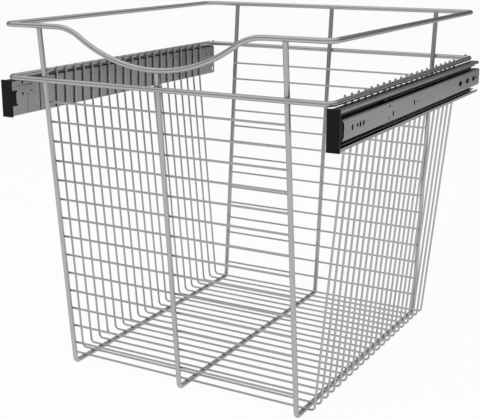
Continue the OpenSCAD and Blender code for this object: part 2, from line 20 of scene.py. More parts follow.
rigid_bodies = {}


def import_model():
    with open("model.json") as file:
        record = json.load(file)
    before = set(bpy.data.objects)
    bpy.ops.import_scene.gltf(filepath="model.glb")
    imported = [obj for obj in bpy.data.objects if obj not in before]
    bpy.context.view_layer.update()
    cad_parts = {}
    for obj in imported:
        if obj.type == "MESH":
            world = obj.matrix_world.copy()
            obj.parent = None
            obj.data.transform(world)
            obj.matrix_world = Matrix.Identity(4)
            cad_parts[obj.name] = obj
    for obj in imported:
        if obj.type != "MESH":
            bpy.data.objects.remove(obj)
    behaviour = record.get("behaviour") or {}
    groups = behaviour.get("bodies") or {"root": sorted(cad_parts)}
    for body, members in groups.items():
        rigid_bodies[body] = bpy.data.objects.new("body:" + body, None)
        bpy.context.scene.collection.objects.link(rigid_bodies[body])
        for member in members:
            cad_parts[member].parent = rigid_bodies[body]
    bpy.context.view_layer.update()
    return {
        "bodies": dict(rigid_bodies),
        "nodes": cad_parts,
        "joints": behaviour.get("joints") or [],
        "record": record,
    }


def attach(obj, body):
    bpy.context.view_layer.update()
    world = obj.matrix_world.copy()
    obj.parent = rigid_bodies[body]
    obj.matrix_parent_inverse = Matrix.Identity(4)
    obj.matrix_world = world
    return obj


LOG = logging.getLogger("basket")
MM = 0.001
Colour = tuple[float, float, float]
WHITE: Colour = (1.0, 1.0, 1.0)


class Body(Enum):
    """The rigid bodies of the part, by the names in its record."""

    BASKET = "basket"
    CABINET = "cabinet_rails"


class Slot(Enum):
    """The material slots of the part's record."""

    WIRE = "wire"
    ZINC = "zinc_sheet"
    # the record's black sheet is the slides' middle member, kept near black here as painted shade of the
    # slide's cavity
    BLACK_SHEET = "black_sheet"
    BALL = "ball_steel"
    PLASTIC = "black_plastic"


class Side(Enum):
    """The two sides of the basket, with the sign of x there."""

    LEFT = -1
    RIGHT = 1

    @property
    def word(self) -> str:
        """Name of the side as the nodes write it."""
        return self.name.lower()


class End(Enum):
    """The basket's two ends, with the sign of y there."""

    FRONT = -1
    REAR = 1

    @property
    def word(self) -> str:
        """Name of the end as the nodes write it."""
        return self.name.lower()


@dataclass(frozen=True)
class Sizes:
    """Sizes of the CAD part in millimetres, as part.scad names them."""

    rim_w: float = 440.0
    rim_d: float = 485.0
    basket_h: float = 457.2
    rim_drop: float = 65.2
    frame_wire_d: float = 6.35
    mesh_wire_d: float = 2.8
    frame_wire_inset: float = 54.0
    weld_bite: float = 0.15
    butt_bite: float = 0.3
    rim_bite: float = 0.5
    slide_rear: float = 254.0
    slide_front: float = 244.0
    narrow_rear_out: float = 2.0
    level_count: int = 14
    level_pitch: float = 25.42
    level_first_z: float = 30.0
    cross_count: int = 21
    cross_pitch: float = 18.88
    cross_shift: float = 3.9
    cross_drift: float = 10.4
    cross_kink_drop: float = 5.0
    cross_stub: float = 0.5
    plate_t: float = 1.5
    plate_bottom_z: float = 340.3
    slide_z: float = 361.5
    dip_low_r: float = 187.0
    dip_shoulder_r: float = 60.0
    dip_slope: float = 34.0
    dip_straight: float = 2.0

    @property
    def basket_y(self) -> float:
        """Y of the basket's middle."""
        return ((self.rim_d + self.frame_wire_d) / 2 - self.slide_rear - self.narrow_rear_out) / 2

    @property
    def top_rim_z(self) -> float:
        """Height of the upper rim's centre line."""
        return self.basket_h - self.frame_wire_d / 2

    @property
    def slide_rim_z(self) -> float:
        """Height of the lower rim's centre line."""
        return self.top_rim_z - self.rim_drop

    @property
    def frame_x(self) -> float:
        """Distance of the outer frame wires from the middle."""
        return self.rim_w / 2 - self.frame_wire_inset

    @property
    def frame_lean(self) -> float:
        """How far the frame legs lean out for each millimetre of height."""
        return (self.frame_wire_d - self.rim_bite) / self.rim_drop

    def frame_y(self, z: float) -> float:
        """Distance of the frame legs' centre line from the basket's middle at a height."""
        return self.rim_d / 2 - self.frame_lean * (self.top_rim_z - z)

    @property
    def wire_touch(self) -> float:
        """Distance between the centre lines of a thick and a thin wire that are welded."""
        return (self.frame_wire_d + self.mesh_wire_d) / 2 - self.weld_bite

    @property
    def cross_floor_z(self) -> float:
        """Height of the cross wires' floor runs."""
        return self.frame_wire_d / 2 + self.wire_touch

    def cross_y(self, index: int) -> float:
        """Y of one cross wire's floor run."""
        return self.basket_y + self.cross_shift + (index - (self.cross_count - 1) / 2) * self.cross_pitch

    def leg_y(self, index: int, side: Side, z: float) -> float:
        """Y of one cross wire's leg on a side, at a height: the legs drift as they rise."""
        rise = (z - self.cross_floor_z) / (self.plate_bottom_z - self.cross_kink_drop - self.cross_floor_z)
        return self.cross_y(index) - side.value * self.cross_drift * rise

    @property
    def slide_front_y(self) -> float:
        """Y of the slides' front ends."""
        return self.basket_y - self.slide_front

    @property
    def plate_x(self) -> float:
        """Distance of the carrier plates' inner faces from the middle."""
        return self.rim_w / 2 - self.frame_wire_d / 2

    @property
    def slide_x(self) -> float:
        """Distance of the slides' inner faces from the middle."""
        return self.plate_x + self.plate_t

    @property
    def dip_depth(self) -> float:
        """Depth of the dip in the front rail."""
        slope = math.radians(self.dip_slope)
        run = self.dip_shoulder_r * math.tan(slope / 2) + self.dip_straight + self.dip_low_r * math.tan(slope)
        return run * math.sin(slope) - self.dip_low_r * (1 / math.cos(slope) - 1)


# ---- Shader nodes ------------------------------------------------------------


class Tree:
    """A thin helper that adds and links nodes in one node tree."""

    def __init__(self, tree: bpy.types.NodeTree) -> None:
        """Keeps the tree to add to."""
        self.tree = tree

    def add(self, kind: str, **values: object) -> bpy.types.Node:
        """Adds a node.

        Args:
            kind: The node's type name, without the ShaderNode prefix.
            **values: Properties of the node to set.

        Returns:
            The new node.
        """
        node = self.tree.nodes.new(kind if kind.startswith("Node") else "ShaderNode" + kind)
        for name, value in values.items():
            setattr(node, name, value)
        return node

    def link(self, out: bpy.types.NodeSocket, into: bpy.types.NodeSocket) -> None:
        """Links two sockets."""
        self.tree.links.new(out, into)

    def feed(self, value: object, into: bpy.types.NodeSocket) -> None:
        """Links a socket, or writes a plain value, into an input."""
        if isinstance(value, bpy.types.NodeSocket):
            self.link(value, into)
        else:
            into.default_value = value

    def math(self, operation: str, a: object, b: object = 0.0, clamp: bool = False) -> bpy.types.NodeSocket:
        """Adds a math node.

        Args:
            operation: Blender's name of the operation.
            a: First value or socket.
            b: Second value or socket.
            clamp: Whether the result is held between 0 and 1.

        Returns:
            The result socket.
        """
        node = self.add("Math", operation=operation, use_clamp=clamp)
        self.feed(a, node.inputs[0])
        self.feed(b, node.inputs[1])
        return node.outputs[0]

    def span(
        self, value: object, low: float, high: float, to_low: object = 0.0, to_high: object = 1.0
    ) -> bpy.types.NodeSocket:
        """Adds a clamped map range node.

        Args:
            value: Value or socket to map.
            low: Start of the source range.
            high: End of the source range.
            to_low: Result at the start, a value or socket.
            to_high: Result at the end, a value or socket.

        Returns:
            The result socket.
        """
        node = self.add("MapRange", clamp=True)
        for socket, number in zip(node.inputs[:5], (value, low, high, to_low, to_high)):
            self.feed(number, socket)
        return node.outputs[0]

    def mix(self, factor: object, a: object, b: object) -> bpy.types.NodeSocket:
        """Adds a colour mix.

        Args:
            factor: Share of the second colour.
            a: First colour or socket.
            b: Second colour or socket.

        Returns:
            The result socket.
        """
        node = self.add("Mix", data_type="RGBA")
        self.feed(factor, node.inputs[0])
        self.feed(a if isinstance(a, bpy.types.NodeSocket) else (*a, 1.0), node.inputs[6])
        self.feed(b if isinstance(b, bpy.types.NodeSocket) else (*b, 1.0), node.inputs[7])
        return node.outputs[2]

    def choose(self, factor: object, a: bpy.types.Node, b: bpy.types.Node) -> bpy.types.NodeSocket:
        """Adds a mix of two shaders.

        Args:
            factor: Share of the second shader.
            a: First shader's node.
            b: Second shader's node.

        Returns:
            The mixed shader's socket.
        """
        node = self.add("MixShader")
        for socket, value in zip(node.inputs, (factor, a.outputs[0], b.outputs[0])):
            self.feed(value, socket)
        return node.outputs[0]

    def along(self, vector: bpy.types.NodeSocket) -> bpy.types.NodeOutputs:
        """Splits a vector and returns its X, Y and Z sockets."""
        parts = self.add("SeparateXYZ")
        self.link(vector, parts.inputs[0])
        return parts.outputs

    def place(self) -> bpy.types.NodeSocket:
        """Returns the object's own coordinates, in metres."""
        return self.add("TexCoord").outputs["Object"]

    def noise(
        self, place: object, scale: object, detail: float = 3.0, rough: float = 0.5
    ) -> bpy.types.NodeSocket:
        """Adds a noise texture and returns its factor.

        Args:
            place: Coordinate socket.
            scale: Scale value or socket, per metre.
            detail: Octaves of detail.
            rough: Strength of the finer octaves.

        Returns:
            The factor socket.
        """
        node = self.add("TexNoise")
        self.feed(place, node.inputs["Vector"])
        self.feed(scale, node.inputs["Scale"])
        node.inputs["Detail"].default_value = detail
        node.inputs["Roughness"].default_value = rough
        return node.outputs[0]


def blank_tree(block: bpy.types.Material | bpy.types.World) -> Tree:
    """Turns on the nodes of a material or world, and returns its tree with nothing in it."""
    block.use_nodes = True
    block.node_tree.nodes.clear()
    return Tree(block.node_tree)


@dataclass(frozen=True)
class Port:
    """One named input or output of a node group."""

    name: str
    value: float | None = None
    kind: str = "NodeSocketFloat"


class EffectGroup:
    """A shader node group with named inputs and outputs, built once."""

    name = "effect"
    ports_in: tuple[Port, ...] = ()
    ports_out: tuple[Port, ...] = ()

    def __init__(self) -> None:
        """Builds the group's sockets and then its nodes."""
        self.group = bpy.data.node_groups.new(self.name, "ShaderNodeTree")
        for in_out, ports in (("INPUT", self.ports_in), ("OUTPUT", self.ports_out)):
            for port in ports:
                socket = self.group.interface.new_socket(port.name, in_out=in_out, socket_type=port.kind)
                if port.value is not None:
                    socket.default_value = port.value
        tree = Tree(self.group)
        self.build(tree, tree.add("NodeGroupInput"), tree.add("NodeGroupOutput"))

    def build(self, tree: Tree, given: bpy.types.Node, result: bpy.types.Node) -> None:
        """Adds the group's own nodes; each effect writes its own."""
        raise NotImplementedError

    def place(self, tree: Tree, **values: object) -> bpy.types.Node:
        """Places the group in a material.

        Args:
            tree: The material's tree.
            **values: Inputs by name, with _ for a space.

        Returns:
            The group node.
        """
        node = tree.add("Group", node_tree=self.group)
        for name, value in values.items():
            tree.feed(value, node.inputs[name.replace("_", " ")])
        return node


class GrainEffect(EffectGroup):
    """Fine even grain of a plated or moulded surface, with a slow drift of tone."""

    name = "surface grain"
    ports_in = (Port("Grain Scale", 900.0), Port("Drift Scale", 12.0))
    ports_out = (Port("Height"), Port("Drift"))
    fine_detail = 2.0
    slow_detail = 4.0
    slow_rough = 0.6
    noise_span = (0.3, 0.7)

    def build(self, tree: Tree, given: bpy.types.Node, result: bpy.types.Node) -> None:
        """Adds two noises, a fine one for height and a coarse one for drift."""
        place = tree.place()
        slow = tree.noise(place, given.outputs["Drift Scale"], self.slow_detail, self.slow_rough)
        tree.link(tree.noise(place, given.outputs["Grain Scale"], self.fine_detail), result.inputs["Height"])
        tree.link(tree.span(slow, *self.noise_span), result.inputs["Drift"])


class RolledEffect(EffectGroup):
    """Long faint lines along Y that rolling leaves in strip steel."""

    name = "rolling lines"
    ports_in = (Port("Line Scale", 1400.0), Port("Stretch", 60.0))
    ports_out = (Port("Lines"), Port("Height"))
    detail = 3.0
    rough = 0.6
    noise_span = (0.35, 0.65)

    def build(self, tree: Tree, given: bpy.types.Node, result: bpy.types.Node) -> None:
        """Stretches a noise along Y and sharpens it."""
        x, y, z = tree.along(tree.place())
        joined = tree.add("CombineXYZ")
        for socket, value in zip(joined.inputs, (x, tree.math("DIVIDE", y, given.outputs["Stretch"]), z)):
            tree.link(value, socket)
        lines = tree.noise(joined.outputs[0], given.outputs["Line Scale"], self.detail, self.rough)
        tree.link(tree.span(lines, *self.noise_span), result.inputs["Lines"])
        tree.link(lines, result.inputs["Height"])


class PaintedShadeEffect(EffectGroup):
    """Mask of places that neighbours crowd: welds, bends and gaps, where colour is darkened as painted shade.
    """

    name = "painted_crevice_shade"
    ports_in = (Port("Distance", 0.004), Port("Strength", 1.0))
    ports_out = (Port("Mask"),)
    rays = 6

    def build(self, tree: Tree, given: bpy.types.Node, result: bpy.types.Node) -> None:
        """Turns ambient occlusion into a mask."""
        shade = tree.add("AmbientOcclusion", samples=self.rays)
        tree.link(given.outputs["Distance"], shade.inputs["Distance"])
        closed = tree.math("SUBTRACT", 1.0, shade.outputs["AO"], clamp=True)
        tree.link(tree.math("MULTIPLY", closed, given.outputs["Strength"], clamp=True), result.inputs["Mask"])


class EdgeWearAndSheenEffect(EffectGroup):
    """Mask of sharp edges, broken up by noise, where colour is brightened as handling wear and as a painted
    highlight.
    """

    name = "edge wear and painted sheen"
    ports_in = (Port("Radius", 0.0006), Port("Break Scale", 300.0))
    ports_out = (Port("Mask"),)
    rays = 4
    turn_span = (0.75, 0.98)
    break_span = (0.35, 0.6)
    least_wear = 0.2

    def build(self, tree: Tree, given: bpy.types.Node, result: bpy.types.Node) -> None:
        """Compares the surface normal with a rounded one."""
        rounded = tree.add("Bevel", samples=self.rays)
        tree.link(given.outputs["Radius"], rounded.inputs["Radius"])
        turned = tree.add("VectorMath", operation="DOT_PRODUCT")
        tree.link(rounded.outputs[0], turned.inputs[0])
        tree.link(tree.add("NewGeometry").outputs["Normal"], turned.inputs[1])
        edge = tree.span(turned.outputs["Value"], *self.turn_span, 1.0, 0.0)
        broken = tree.noise(tree.place(), given.outputs["Break Scale"])
        wear = tree.span(broken, *self.break_span, self.least_wear, 1.0)
        tree.link(tree.math("MULTIPLY", edge, wear), result.inputs["Mask"])


class CutEdgeShadeEffect(EffectGroup):
    """Mask of faces sheared across a strip, its ends and the sides of its slots, darkened as painted shade of
    the holes and slots and as darker bare steel.
    """

    name = "cut edge shade"
    ports_out = (Port("Mask"),)
    facing_span = (0.35, 0.7)

    def build(self, tree: Tree, given: bpy.types.Node, result: bpy.types.Node) -> None:
        """Picks the faces that look along Y."""
        facing = tree.along(tree.add("NewGeometry").outputs["True Normal"])[1]
        tree.link(tree.span(tree.math("ABSOLUTE", facing), *self.facing_span), result.inputs["Mask"])


@dataclass
class Effects:
    """The shared effects, each built once."""

    grain: GrainEffect = field(default_factory=GrainEffect)
    rolled: RolledEffect = field(default_factory=RolledEffect)
    painted_crevice_shade: PaintedShadeEffect = field(default_factory=PaintedShadeEffect)
    edges: EdgeWearAndSheenEffect = field(default_factory=EdgeWearAndSheenEffect)
    cut_edge_shade: CutEdgeShadeEffect = field(default_factory=CutEdgeShadeEffect)


@dataclass(frozen=True)
class Finish:
    """A finish of metal or plastic, as a procedural material.

    Colours are linear. The tones are mixed by slow drift, rolling lines where the strip is rolled, painted
    shade in crevices and on cut faces, and edge wear with a painted highlight.
    """

    name: str
    colour: Colour
    drift_colour: Colour
    # dark colour of the painted shade in crevices and on cut faces, also used for the rolling lines
    painted_shade_and_line_colour: Colour
    # brighter colour of sharp edges: handling wear and a painted highlight
    edge_wear_and_sheen_colour: Colour
    metallic: float
    roughness: float
    roughness_spread: float
    grain_scale: float = 900.0
    drift_scale: float = 12.0
    grain_span: tuple[float, float] = (0.3, 0.7)
    bump: float = 0.05
    bump_distance: float = 0.0002
    # reach and strength of the painted shade in crevices
    painted_shade_distance: float = 0.004
    painted_shade_strength: float = 0.8
    edge_radius: float = 0.0005
    edge_wear_and_sheen_strength: float = 0.6
    # strength of the painted shade on faces that look along Y
    cut_edge_shade_strength: float = 0.0
    rolled: bool = False
    rolled_strength: float = 0.15
    specular: float = 0.5
    edge_tint: float = 1.0

    def make(self, effects: Effects) -> bpy.types.Material:
        """Builds the material.

        Args:
            effects: The shared node groups.

        Returns:
            The material.
        """
        material = bpy.data.materials.new(self.name)
        tree = blank_tree(material)
        shader = tree.add("BsdfPrincipled")
        tree.link(shader.outputs[0], tree.add("OutputMaterial").inputs["Surface"])
        shader.inputs["Metallic"].default_value = self.metallic
        shader.inputs["Specular IOR Level"].default_value = self.specular
        shader.inputs["Specular Tint"].default_value = (self.edge_tint,) * 3 + (1.0,)
        grain = effects.grain.place(tree, Grain_Scale=self.grain_scale, Drift_Scale=self.drift_scale)
        painted_crevice_shade = effects.painted_crevice_shade.place(
            tree, Distance=self.painted_shade_distance, Strength=self.painted_shade_strength
        )
        edges = effects.edges.place(tree, Radius=self.edge_radius)
        colour = tree.mix(grain.outputs["Drift"], self.colour, self.drift_colour)
        height = grain.outputs["Height"]
        if self.rolled:
            lines = effects.rolled.place(tree)
            share = tree.math("MULTIPLY", lines.outputs["Lines"], self.rolled_strength)
            colour = tree.mix(share, colour, self.painted_shade_and_line_colour)
            height = tree.math("ADD", height, lines.outputs["Height"])
        # sharp edges brightened: handling wear and a painted highlight
        worn_and_sheen = tree.math("MULTIPLY", edges.outputs["Mask"], self.edge_wear_and_sheen_strength)
        colour = tree.mix(worn_and_sheen, colour, self.edge_wear_and_sheen_colour)
        # faces that look along Y darkened: painted shade of holes and slots, and darker bare steel
        if self.cut_edge_shade_strength:
            cut = tree.math("MULTIPLY", effects.cut_edge_shade.place(tree).outputs["Mask"], self.cut_edge_shade_strength)
            colour = tree.mix(cut, colour, self.painted_shade_and_line_colour)
        # painted shade: crowded places darkened by ambient occlusion
        colour = tree.mix(painted_crevice_shade.outputs["Mask"], colour, self.painted_shade_and_line_colour)
        tree.link(colour, shader.inputs["Base Color"])
        low, high = self.roughness - self.roughness_spread, self.roughness + self.roughness_spread
        tree.link(tree.span(grain.outputs["Height"], *self.grain_span, low, high), shader.inputs["Roughness"])
        bump = tree.add("Bump")
        bump.inputs["Strength"].default_value = self.bump
        bump.inputs["Distance"].default_value = self.bump_distance
        tree.link(height, bump.inputs["Height"])
        tree.link(bump.outputs[0], shader.inputs["Normal"])
        return material


# painted shade: a light darkening where wires crowd; the edges carry a slight painted highlight
WIRE_FINISH = Finish(
    name="satin plated wire",
    colour=(0.47, 0.47, 0.475),
    drift_colour=(0.43, 0.43, 0.44),
    painted_shade_and_line_colour=(0.08, 0.08, 0.082),
    edge_wear_and_sheen_colour=(0.52, 0.52, 0.53),
    metallic=0.9,
    roughness=0.22,
    roughness_spread=0.04,
    painted_shade_distance=0.002,
    painted_shade_strength=0.15,
    edge_tint=0.55,
)
# painted shade: crevices of the slides darkened far and hard towards near black for the shade inside the
# slides, and faces that look along Y darkened for the shade of holes and slots; bright edges are partly a
# painted highlight
ZINC_FINISH = Finish(
    name="zinc plated strip",
    colour=(0.35, 0.35, 0.355),
    drift_colour=(0.315, 0.315, 0.32),
    painted_shade_and_line_colour=(0.010, 0.010, 0.011),
    edge_wear_and_sheen_colour=(0.50, 0.50, 0.51),
    metallic=0.85,
    roughness=0.26,
    roughness_spread=0.05,
    rolled=True,
    painted_shade_distance=0.010,
    painted_shade_strength=1.8,
    cut_edge_shade_strength=0.9,
    edge_tint=0.7,
)
# painted shade: dark lines beside the wire legs and in the plate's slots and holes; bright edges are partly a
# painted highlight
PLATE_FINISH = Finish(
    name="zinc plated plate",
    colour=(0.34, 0.34, 0.345),
    drift_colour=(0.31, 0.31, 0.315),
    painted_shade_and_line_colour=(0.02, 0.02, 0.021),
    edge_wear_and_sheen_colour=(0.56, 0.56, 0.57),
    metallic=0.85,
    roughness=0.20,
    roughness_spread=0.04,
    rolled=True,
    rolled_strength=0.06,
    painted_shade_distance=0.0018,
    painted_shade_strength=0.4,
    cut_edge_shade_strength=0.7,
    edge_tint=0.7,
)
# painted shade: the middle member is near black to stand for the shade of the slide's cavity
CAVITY_SHADE_STRIP_FINISH = Finish(
    name="strip painted dark as cavity shade",
    colour=(0.085, 0.085, 0.088),
    drift_colour=(0.105, 0.105, 0.11),
    painted_shade_and_line_colour=(0.010, 0.010, 0.010),
    edge_wear_and_sheen_colour=(0.18, 0.18, 0.185),
    metallic=0.3,
    roughness=0.45,
    roughness_spread=0.08,
    rolled=True,
)
# balls darkened for grease and as painted shade of the slide's cavity
GREASED_SHADED_BALL_FINISH = Finish(
    name="greased ball in painted shade",
    colour=(0.05, 0.05, 0.052),
    drift_colour=(0.035, 0.033, 0.03),
    painted_shade_and_line_colour=(0.008, 0.007, 0.006),
    edge_wear_and_sheen_colour=(0.06, 0.06, 0.06),
    metallic=0.9,
    roughness=0.30,
    roughness_spread=0.08,
    bump=0.02,
)
CAP_FINISH = Finish(
    name="moulded cap",
    colour=(0.007, 0.007, 0.007),
    drift_colour=(0.009, 0.009, 0.009),
    painted_shade_and_line_colour=(0.002, 0.002, 0.002),
    edge_wear_and_sheen_colour=(0.03, 0.03, 0.03),
    metallic=0.0,
    specular=0.12,
    roughness=0.5,
    roughness_spread=0.06,
    grain_scale=1500.0,
    bump=0.12,
)
WELD_FINISH = Finish(
    name="plated weld",
    colour=(0.42, 0.42, 0.425),
    drift_colour=(0.34, 0.34, 0.345),
    painted_shade_and_line_colour=(0.12, 0.12, 0.122),
    edge_wear_and_sheen_colour=(0.46, 0.46, 0.47),
    metallic=0.9,
    roughness=0.30,
    roughness_spread=0.08,
    grain_scale=1600.0,
    drift_scale=60.0,
    bump=0.25,
    edge_tint=0.55,
)
RUBBER_FINISH = Finish(
    name="rubber bumper",
    colour=(0.006, 0.006, 0.006),
    drift_colour=(0.010, 0.010, 0.010),
    painted_shade_and_line_colour=(0.002, 0.002, 0.002),
    edge_wear_and_sheen_colour=(0.02, 0.02, 0.02),
    metallic=0.0,
    specular=0.2,
    roughness=0.65,
    roughness_spread=0.08,
    grain_scale=2200.0,
    bump=0.2,
)


# ---- Studio ------------------------------------------------------------------


@dataclass(frozen=True)
class Lamp:
    """A soft square lamp that faces a point."""

    name: str
    place: tuple[float, float, float]
    size: float
    power: float
    in_reflections: bool = True

    def make(self, aim: Vector) -> None:
        """Adds the lamp to the scene, turned to the point."""
        data = bpy.data.lights.new(self.name, "AREA")
        data.shape = "SQUARE"
        data.size = self.size
        data.energy = self.power
        lamp = bpy.data.objects.new(self.name, data)
        lamp.visible_glossy = self.in_reflections
        lamp.location = self.place
        lamp.rotation_mode = "QUATERNION"
        lamp.rotation_quaternion = (aim - lamp.location).to_track_quat("-Z", "Y")
        bpy.context.scene.collection.objects.link(lamp)


@dataclass
class Studio:
    """Camera, lamps, world and floor."""

    sizes: Sizes
    camera_place: tuple[float, float, float] = (637.0, -1173.8, 554.1)
    camera_heading: tuple[float, float, float] = (-0.47478, 0.84155, -0.25764)
    focal_px: float = 990.5
    picture_w: float = 480.0
    principal_rise_px: float = 5.8
    sensor_mm: float = 36.0
    clip_end: float = 100.0
    lamp_aim: tuple[float, float, float] = (0.0, 0.0, 0.22)
    ambient: float = 0.35
    floor_half: float = 15.0
    floor_drop: float = 0.0002
    floor_white: float = 0.95
    floor_tones: tuple[Colour, Colour] = ((0.86, 0.86, 0.86), (0.90, 0.90, 0.90))
    floor_noise: float = 8.0
    wall_radius: float = 3.0
    wall_height: float = 2.9
    wall_sides: int = 64
    wall_front_tone: float = 0.40
    wall_rear_tone: float = 0.24
    wall_fade: float = 0.5
    lamps: tuple[Lamp, ...] = (
        Lamp("top soft box", (-0.7, -0.9, 2.7), 3.6, 8.0, in_reflections=False),
        Lamp("overhead glint", (-0.7, -0.9, 2.7), 3.6, 60.0),
        Lamp("front left lamp", (-1.5, -2.1, 1.7), 1.2, 22.0, in_reflections=False),
        Lamp("right fill lamp", (2.4, -0.9, 1.1), 1.6, 14.0, in_reflections=False),
    )

    def build(self) -> None:
        """Adds everything round the object."""
        self.add_camera()
        for lamp in self.lamps:
            lamp.make(Vector(self.lamp_aim))
        self.add_world()
        self.add_floor()
        self.add_wall()
        bpy.context.scene.view_settings.view_transform = "Standard"

    def add_camera(self) -> None:
        """Adds the camera at the photograph's viewpoint."""
        data = bpy.data.cameras.new("camera")
        data.sensor_fit = "HORIZONTAL"
        data.sensor_width = self.sensor_mm
        data.lens = self.focal_px * self.sensor_mm / self.picture_w
        data.shift_y = -self.principal_rise_px / self.picture_w
        data.clip_end = self.clip_end
        camera = bpy.data.objects.new("camera", data)
        x, y, z = self.camera_place
        camera.location = Vector((x, y + self.sizes.basket_y, z)) * MM
        camera.rotation_mode = "QUATERNION"
        camera.rotation_quaternion = Vector(self.camera_heading).to_track_quat("-Z", "Y")
        bpy.context.scene.collection.objects.link(camera)
        bpy.context.scene.camera = camera

    @staticmethod
    def seen_directly(tree: Tree) -> bpy.types.NodeSocket:
        """Adds the test for camera, glossy and transmission rays and returns it."""
        path = tree.add("LightPath")
        seen = tree.math("ADD", path.outputs["Is Camera Ray"], path.outputs["Is Glossy Ray"], clamp=True)
        return tree.math("ADD", seen, path.outputs["Is Transmission Ray"], clamp=True)

    def add_world(self) -> None:
        """Makes a white backdrop and a softer ambient light."""
        world = bpy.data.worlds.new("studio")
        tree = blank_tree(world)
        light = tree.add("Background")
        light.inputs["Strength"].default_value = self.ambient
        backdrop = tree.add("Background")
        for background in (light, backdrop):
            background.inputs["Color"].default_value = (*WHITE, 1.0)
        chosen = tree.choose(self.seen_directly(tree), light, backdrop)
        tree.link(chosen, tree.add("OutputWorld").inputs["Surface"])
        bpy.context.scene.world = world

    @staticmethod
    def add_stage(name: str, mesh: bpy.types.Mesh, material: bpy.types.Material) -> bpy.types.Object:
        """Puts a piece of the studio in the scene.

        Args:
            name: Name of the piece.
            mesh: Its mesh, in metres.
            material: Its material.

        Returns:
            The piece.
        """
        mesh.materials.append(material)
        piece = bpy.data.objects.new(name, mesh)
        bpy.context.scene.collection.objects.link(piece)
        return piece

    def add_floor(self) -> None:
        """Adds a wide pale floor that shows the object's shadow."""
        mesh = bpy.data.meshes.new("floor")
        half, low = self.floor_half, -self.floor_drop
        corners = [(-half, -half, low), (half, -half, low), (half, half, low), (-half, half, low)]
        mesh.from_pydata(corners, [], [(0, 1, 2, 3)])
        material = bpy.data.materials.new("pale floor")
        tree = blank_tree(material)
        cloth = tree.add("BsdfDiffuse")
        tone = tree.mix(tree.noise(tree.place(), self.floor_noise), *self.floor_tones)
        tree.link(tone, cloth.inputs["Color"])
        glow = tree.add("Emission")
        glow.inputs["Color"].default_value = (*WHITE, 1.0)
        share = tree.math("MULTIPLY", self.seen_directly(tree), self.floor_white)
        tree.link(tree.choose(share, cloth, glow), tree.add("OutputMaterial").inputs["Surface"])
        self.add_stage("floor", mesh, material)

    def add_wall(self) -> None:
        """Adds a grey studio wall round the object, which only reflections show."""
        mesh = bpy.data.meshes.new("studio wall")
        steps = [math.tau * i / self.wall_sides for i in range(self.wall_sides)]
        ring = [(self.wall_radius * math.cos(a), self.wall_radius * math.sin(a)) for a in steps]
        points = [(x, y, z) for z in (0.0, self.wall_height) for x, y in ring]
        n = self.wall_sides
        mesh.from_pydata(points, [], [(i, (i + 1) % n, (i + 1) % n + n, i + n) for i in range(n)])
        material = bpy.data.materials.new("grey studio wall")
        tree = blank_tree(material)
        _, y, z = tree.along(tree.place())
        reach = self.wall_radius
        tone = tree.span(y, -reach, reach, self.wall_front_tone, self.wall_rear_tone)
        rise = tree.span(z, self.wall_fade * self.wall_height, self.wall_height, tone, 1.0)
        grey = tree.add("CombineColor")
        for socket in grey.inputs[:3]:
            tree.link(rise, socket)
        glow = tree.add("Emission")
        tree.link(grey.outputs[0], glow.inputs["Color"])
        reflected = tree.add("LightPath").outputs["Is Glossy Ray"]
        chosen = tree.choose(reflected, tree.add("BsdfTransparent"), glow)
        tree.link(chosen, tree.add("OutputMaterial").inputs["Surface"])
        wall = self.add_stage("studio_wall", mesh, material)
        wall.visible_camera = False
        wall.visible_shadow = False
        wall.visible_diffuse = False


# ---- Dressing ----------------------------------------------------------------


FINISH_OF_SLOT: dict[Slot, Finish] = {
    Slot.WIRE: WIRE_FINISH,
    Slot.ZINC: ZINC_FINISH,
    Slot.BLACK_SHEET: CAVITY_SHADE_STRIP_FINISH,
    Slot.BALL: GREASED_SHADED_BALL_FINISH,
    Slot.PLASTIC: CAP_FINISH,
}
FINISH_OF_PIECE: dict[str, Finish] = {"carrier_plate": PLATE_FINISH}


@dataclass
class Dresser:
    """Makes each finish once and puts it on the CAD pieces and on new ones."""

    effects: Effects
    made: dict[str, bpy.types.Material] = field(default_factory=dict)

    def material(self, finish: Finish) -> bpy.types.Material:
        """Returns the finish's material, made at its first use."""
        if finish.name not in self.made:
            self.made[finish.name] = finish.make(self.effects)
        return self.made[finish.name]

    def dress(self, piece: bpy.types.Object, finish: Finish) -> None:
        """Puts a finish on a piece in place of what it has."""
        piece.data.materials.clear()
        piece.data.materials.append(self.material(finish))

    def dress_cad(self, frame: dict) -> None:
        """Dresses every CAD node by its own name or the slot that the record gives it.
        """
        for part in frame["record"]["subparts"]:
            usual = FINISH_OF_SLOT[Slot(part["material_slot"])]
            word = part["node"].split("_", 1)[1]
            self.dress(frame["nodes"][part["node"]], FINISH_OF_PIECE.get(word, usual))
            LOG.info("dressed %s as %s", part["node"], part["material_slot"])


@dataclass
class Bench:
    """Turns mesh work in millimetres into dressed pieces that ride on their bodies."""

    dresser: Dresser

    def hand_over(
        self, name: str, work: bmesh.types.BMesh, finish: Finish, body: Body, slot: Slot
    ) -> None:
        """Makes a piece out of finished mesh work.

        Args:
            name: Name of the piece.
            work: The mesh, in millimetres; it is used up.
            finish: The finish to put on it.
            body: The body that carries it.
            slot: The record's slot that its finish belongs to; not used.
        """
        bmesh.ops.recalc_face_normals(work, faces=work.faces)
        work.transform(Matrix.Scale(MM, 4))
        mesh = bpy.data.meshes.new(name)
        work.to_mesh(mesh)
        work.free()
        mesh.shade_smooth()
        piece = bpy.data.objects.new(name, mesh)
        bpy.context.scene.collection.objects.link(piece)
        self.dresser.dress(piece, finish)
        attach(piece, body.value)
        LOG.info("made %s with %d faces", name, len(mesh.polygons))


# ---- Welds -------------------------------------------------------------------


